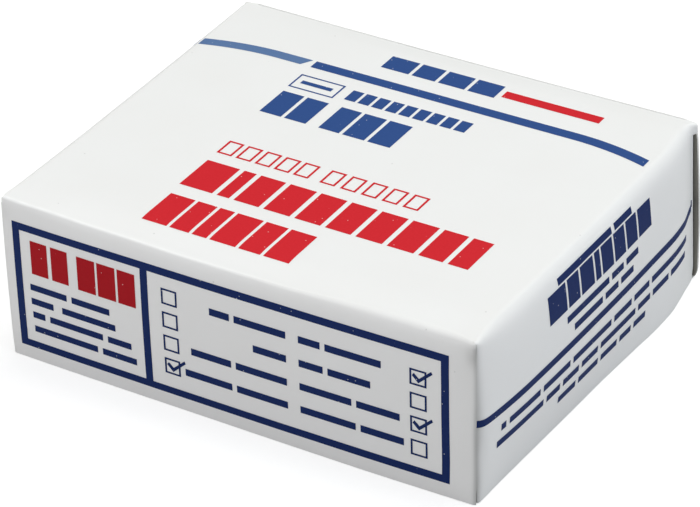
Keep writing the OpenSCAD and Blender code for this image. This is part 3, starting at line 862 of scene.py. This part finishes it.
def topBlue():
    art = Art(cellX, cellY)
    art.stripe(-20, 38.9)
    art.row(-10.4, 25.4, [4.9, 4.1, 4.6, 4.6], 3.8, 0.6)
    art.frame(-20, 13.6, 8, 4.1, 0.28)
    art.block(-18.8, 15.2, 5.5, 0.9)
    art.row(-10.3, 14.2, [1.9] * 9, 3, 0.5)
    art.row(-19.8, 5.1, [3.8, 3.8], 6.9, 0.6)
    art.row(-9.3, 5.1, [3.6, 3.8, 3.9], 6.9, 0.6)
    return art


def topPale():
    art = Art(cellX, cellY)
    art.stripe(-40.2, -20.7, 1.2)
    return art


def topRed():
    art = Art(cellX, cellY)
    art.row(-18.8, -18.5, [5.7, 2.1, 4.3, 4.5, 4.4, 4.3, 4.4, 4.4, 4, 3.3], 7.7, 0.83)
    art.row(-18.4, -29.1, [4.3, 3.3, 2.5, 4.4, 3.7, 4.3], 7.8, 0.54)
    art.boxes(-18.9, -8.3, 5, 2.6, 3.8, 0.75, 0.35)
    art.boxes(-0.9, -8.3, 5, 2.6, 3.8, 0.95, 0.35)
    art.block(10.5, 26.2, 16.8, 1.9)
    return art


def frontNavy():
    art = Art(cellX, cellZ)
    line = artwork["frameLine"]
    left, right, low, high, split = -38.4, 35.8, 2.4, 24.3, -15.6
    art.frame(left, low, right - left, high - low, line)
    art.mmBlock(split * cellX, low * cellZ + line, line, (high - low) * cellZ - 2 * line)
    art.row(-35.8, 12.9, [6.6, 6.8])
    art.row(-35.8, 10.4, [4, 9.6], 1.1, 1.6)
    art.row(-35.7, 8, [2.2, 9.6, 4.2])
    art.row(-35.6, 5.5, [11.5, 6.1])
    words = [[3.4, 8.7], [5.6], [6.9, 8.7], [8.1, 8.7]]
    answers = [[3.6, 9.2], [4, 7], [8.6, 7.1], [9.2, 7.1]]
    for i in range(4):
        y = 18.5 - i * 4.05
        length = sum(words[i]) + 0.8 * (len(words[i]) - 1)
        art.row(9.2 - length, y + 0.3, words[i], 1.2, 0.8)
        art.row(11.3, y + 0.3, answers[i], 1.2, 0.8)
        art.tick(-12, y - 0.3, i == 3)
        art.tick(29.5, y - 0.8, i in (0, 2))
    return art


def frontRed():
    art = Art(cellX, cellZ)
    art.row(-35.3, 15.9, [3, 3], 5.8, 0.7)
    art.row(-26.9, 15.8, [3.2, 3.2, 3.1], 5.8, 0.4)
    return art


def sideNavy():
    art = Art(cellY, cellZ)
    ys = [y for y in stations() if y < lid["flapBack"] - 0.25] + [lid["flapBack"] - 0.2]
    for a, b in zip(ys, ys[1:]):  # the stripe follows the curl at the seam
        art.mmBlock(a, artwork["sideStripeAt"] * cellZ, b - a, artwork["sideStripe"])
    art.row(-12.2, 25.1, [16, 5.4])
    art.row(-15.4, 20.2, [5, 3.3, 3.8, 1.5, 3.3, 3.3, 3.3, 4], 4.6, 0.5)
    art.row(-10.6, 17.9, [12.4, 3.6, 3.8])
    art.row(-8.6, 15.7, [8.3, 3.9, 3.9])
    art.row(-28.6, 10.1, [1.2, 8.2, 7.6, 11.4, 5.4, 4.8, 12.9])
    art.row(-29.6, 7.6, [12.4, 3.8, 4.6, 4.8, 10.6, 3.8, 5.2, 5.8])
    art.row(-12.6, 5.1, [5, 5.8, 4.8, 3.4, 3.6])
    return art


printOn("topPrintBlue", topBlue(), onTop, (0, 0, -1), inks["blue"], "top_print_blue")
printOn("topPrintPale", topPale(), onTop, (0, 0, -1), inks["pale"], "top_print_pale")
printOn("topPrintRed", topRed(), onTop, (0, 0, -1), inks["red"], "top_print_red")
printOn("frontPrintNavy", frontNavy(), onFront, (0, 1, 0), inks["navy"], "front_print_blue")
printOn("frontPrintRed", frontRed(), onFront, (0, 1, 0), inks["darkRed"], "front_print_red")
printOn("sidePrintNavy", sideNavy(), onSide, (-1, 0, 0), inks["navy"], "side_print_blue")


view = {
    "aim": (-0.1, -1.61, 11.79),  # mm
    "azimuth": 31.94,
    "elevation": 32.46,
    "roll": -1.71,
    "distance": 552.1,  # mm
    "lens": 189.25,
}


def makeCamera():
    a, e = math.radians(view["azimuth"]), math.radians(view["elevation"])
    back = Vector((math.sin(a) * math.cos(e), -math.cos(a) * math.cos(e), math.sin(e)))
    data = bpy.data.cameras.new("camera")
    data.lens = view["lens"]
    data.sensor_width = 36
    data.clip_start = 0.01
    camera = bpy.data.objects.new("camera", data)
    camera.location = Vector(view["aim"]) * mm + back * view["distance"] * mm
    turn = back.to_track_quat("Z", "Y").to_matrix()
    camera.rotation_euler = (turn @ Matrix.Rotation(math.radians(view["roll"]), 3, "Z")).to_euler()
    bpy.context.scene.collection.objects.link(camera)
    bpy.context.scene.camera = camera


light = {
    "skyStrength": 0.2,
    "skyColour": "e9ebee",
    "boxes": [  # name, size in m, place in m, power in W, colour
        ("overhead", 0.9, (0.15, 0.35, 1.0), 6.9, "fefffa"),
        ("softbox", 1.6, (0, -0.1, 1.2), 3.3, "fefffc"),
        ("frontLeft", 0.3, (-0.3, -0.42, 0.22), 1.02, "fefdff"),
        ("right", 0.8, (0.95, -0.1, 0.65), 3.5, "ecf3ff"),
        ("rightBack", 0.8, (0.95, 0.45, 0.5), 1, "ecf3ff"),
    ],
}


def makeLight():
    world = bpy.data.worlds.new("studio")
    world.use_nodes = True
    tree = world.node_tree
    tree.nodes.clear()
    path = addNode(tree, "ShaderNodeLightPath")
    straight = addNode(tree, "ShaderNodeMath",
                       links={0: path.outputs["Is Camera Ray"], 1: path.outputs["Is Transmission Ray"]},
                       operation="MAXIMUM")
    sky = addNode(tree, "ShaderNodeBackground",
                  {"Color": srgb(light["skyColour"]), "Strength": light["skyStrength"]})
    plain = addNode(tree, "ShaderNodeBackground", {"Color": (1, 1, 1, 1), "Strength": 1})
    mix = addNode(tree, "ShaderNodeMixShader",
                  links={0: straight.outputs[0], 1: sky.outputs[0], 2: plain.outputs[0]})
    addNode(tree, "ShaderNodeOutputWorld", links={"Surface": mix.outputs[0]})
    bpy.context.scene.world = world
    for name, size, place, power, colour in light["boxes"]:
        data = bpy.data.lights.new(name, "AREA")
        data.shape = "SQUARE"
        data.size = size
        data.energy = power
        data.color = srgb(colour)[:3]
        lamp = bpy.data.objects.new(name, data)
        lamp.location = place
        lamp.visible_glossy = name != "frontLeft"  # no glare on the top from this low light
        lamp.rotation_euler = Vector(place).to_track_quat("Z", "Y").to_euler()
        bpy.context.scene.collection.objects.link(lamp)


floor = {
    "reach": 4,  # m from the middle to each side
    "paper": 0.58,  # how much light it sends back to the box
    "seen": 0.5,  # how much it sends to the camera, on top of the glow that whitens it
    "glow": 0.63,
}


def makeFloor():
    mesh = bpy.data.meshes.new("floor")
    far = floor["reach"]
    mesh.from_pydata([(-far, -far, 0), (far, -far, 0), (far, far, 0), (-far, far, 0)], [],
                     [(0, 1, 2, 3)])
    sweep = newObject("floor", mesh)
    material, tree = newMaterial("whitePaperSweep")
    path = addNode(tree, "ShaderNodeLightPath")
    paper = addNode(tree, "ShaderNodeBsdfDiffuse", {"Color": [floor["paper"]] * 3 + [1]})
    lit = addNode(tree, "ShaderNodeBsdfDiffuse", {"Color": [floor["seen"]] * 3 + [1]})
    glow = addNode(tree, "ShaderNodeEmission", {"Color": (1, 1, 1, 1), "Strength": floor["glow"]})
    seen = addNode(tree, "ShaderNodeAddShader", links={0: lit.outputs[0], 1: glow.outputs[0]})
    mix = addNode(tree, "ShaderNodeMixShader",
                  links={0: path.outputs["Is Camera Ray"], 1: paper.outputs[0], 2: seen.outputs[0]})
    addNode(tree, "ShaderNodeOutputMaterial", links={"Surface": mix.outputs[0]})
    mesh.materials.append(material)


makeCamera()
makeLight()
makeFloor()
bpy.context.scene.view_settings.view_transform = "Standard"
print("camera, light and floor made")
